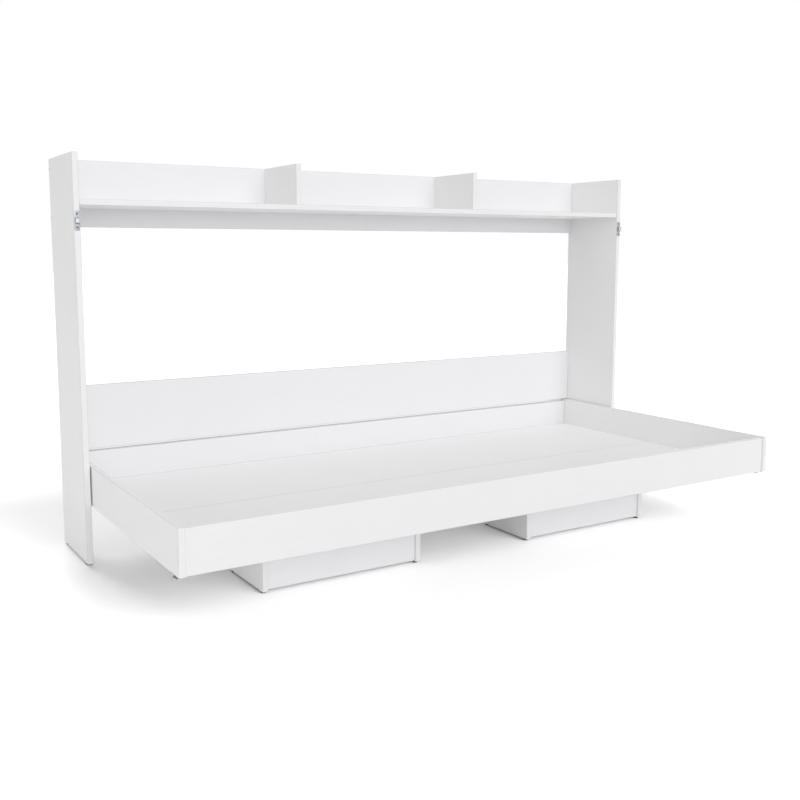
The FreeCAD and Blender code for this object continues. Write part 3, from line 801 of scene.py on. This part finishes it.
# %% [markdown]
# ## The light
#
# In the photograph the fronts of the boards are brightest, the tops a little darker and the left sides
# darker still, and every shadow is soft. That is a wide softbox low in front of the bed, a weaker one at
# its left, and a room that is bright all round. A ceiling that reflects everywhere lights what faces up
# and throws no shadow. The floor has two lamps of its own, in front at the right and behind, because its
# shadow is short and falls all round the bed. Light linking keeps those lamps off the bed, and the ceiling
# and the left softbox off the floor.
#
# Area lamps would do for a small thing, but along two metres of bed they fall off from one end to the
# other. A sun lamp with a wide disc is as soft, and equally strong everywhere.

# %% The room
ROOM_WHITE = (1.0, 1.0, 1.0, 1.0)
ROOM_LIGHT, ROOM_SHOWN = 0.515, 1.0

room = bpy.data.worlds.new("white_room")
bpy.context.scene.world = room
room_graph = empty_graph(room)


def white_room(strength):
    """A background that is equally white all round."""
    node = add_node(room_graph, "ShaderNodeBackground", {"Color": ROOM_WHITE, "Strength": strength})
    return node.outputs["Background"]


all_round = lit_and_shown(room_graph, white_room(ROOM_LIGHT), white_room(ROOM_SHOWN))
add_node(room_graph, "ShaderNodeOutputWorld", {"Surface": all_round})
print("room light", ROOM_LIGHT)


# %% The lamps
def studio_lamp(name, bearing, height, width, power):
    """A wide sun: bearing in degrees to the right of straight in front, height in degrees above the floor."""
    lamp_data = bpy.data.lights.new(name, "SUN")
    lamp_data.energy = power
    lamp_data.angle = math.radians(width)
    lamp = bpy.data.objects.new(name, lamp_data)
    swing, rise = math.radians(bearing), math.radians(height)
    source = Vector((math.sin(swing) * math.cos(rise), -math.cos(swing) * math.cos(rise), math.sin(rise)))
    lamp.rotation_euler = source.to_track_quat("Z", "Y").to_euler()
    bpy.context.scene.collection.objects.link(lamp)
    print(name, "at", bearing, "degrees,", height, "up, power", power)
    return lamp


def link_light(lamp, receiver, state):
    """Links a lamp to one object: INCLUDE lights nothing else, and EXCLUDE lights all but that one."""
    group = bpy.data.collections.new(lamp.name + "_receivers")
    group.objects.link(receiver)
    group.collection_objects[0].light_linking.link_state = state
    lamp.light_linking.receiver_collection = group


studio_lamp("front_softbox", bearing=0.0, height=15.0, width=40.0, power=1.12)
left_softbox = studio_lamp("left_softbox", bearing=-80.0, height=8.0, width=40.0, power=0.57)
ceiling = studio_lamp("ceiling", bearing=0.0, height=90.0, width=50.0, power=0.60)
ceiling.data.use_shadow = False
floor_lamp_front = studio_lamp("floor_lamp_front", bearing=25.0, height=22.0, width=40.0, power=3.66)
floor_lamp_back = studio_lamp("floor_lamp_back", bearing=180.0, height=25.0, width=34.0, power=2.86)
for lamp in (left_softbox, ceiling):
    link_light(lamp, floor, "EXCLUDE")
for lamp in (floor_lamp_front, floor_lamp_back):
    link_light(lamp, floor, "INCLUDE")
bpy.context.scene.view_settings.view_transform = "Standard"

# %% [markdown]
# ## The camera
#
# The photograph was taken from the left, from about the height of a seated person's eyes. A camera could
# be set by eye, but here its lens and place were found by fitting the corners of the boards to where they
# lie in the picture. The picture is a square of 800 pixels, so a focal length in pixels turns into
# millimetres on a 36 mm sensor, and the point where the lens axis meets the picture, a little off its
# middle, turns into the camera's shift.

# %% Camera
PICTURE_PIXELS = 800.0
FOCAL_PIXELS = 966.4
AXIS_PIXEL_ACROSS = 384.9
AXIS_PIXEL_DOWN = 373.6
CAMERA_PLACE = Vector((-1.6422, -2.4101, 0.8658))
CAMERA_HEADING = 0.5511
CAMERA_DIP = 0.1270
SENSOR_MM = 36.0
SEEN_AS_FAR_AS = 200.0

lens = bpy.data.cameras.new("camera")
lens.sensor_width = SENSOR_MM
lens.lens = FOCAL_PIXELS / PICTURE_PIXELS * SENSOR_MM
lens.shift_x = (PICTURE_PIXELS / 2 - AXIS_PIXEL_ACROSS) / PICTURE_PIXELS
lens.shift_y = (AXIS_PIXEL_DOWN - PICTURE_PIXELS / 2) / PICTURE_PIXELS
lens.clip_end = SEEN_AS_FAR_AS
camera = bpy.data.objects.new("camera", lens)
look = Vector((math.sin(CAMERA_HEADING) * math.cos(CAMERA_DIP),
               math.cos(CAMERA_HEADING) * math.cos(CAMERA_DIP), -math.sin(CAMERA_DIP)))
camera.location = CAMERA_PLACE
camera.rotation_euler = look.to_track_quat("-Z", "Y").to_euler()
bpy.context.scene.collection.objects.link(camera)
bpy.context.scene.camera = camera
print("lens", round(lens.lens, 2), "mm, shift", round(lens.shift_x, 4), round(lens.shift_y, 4))
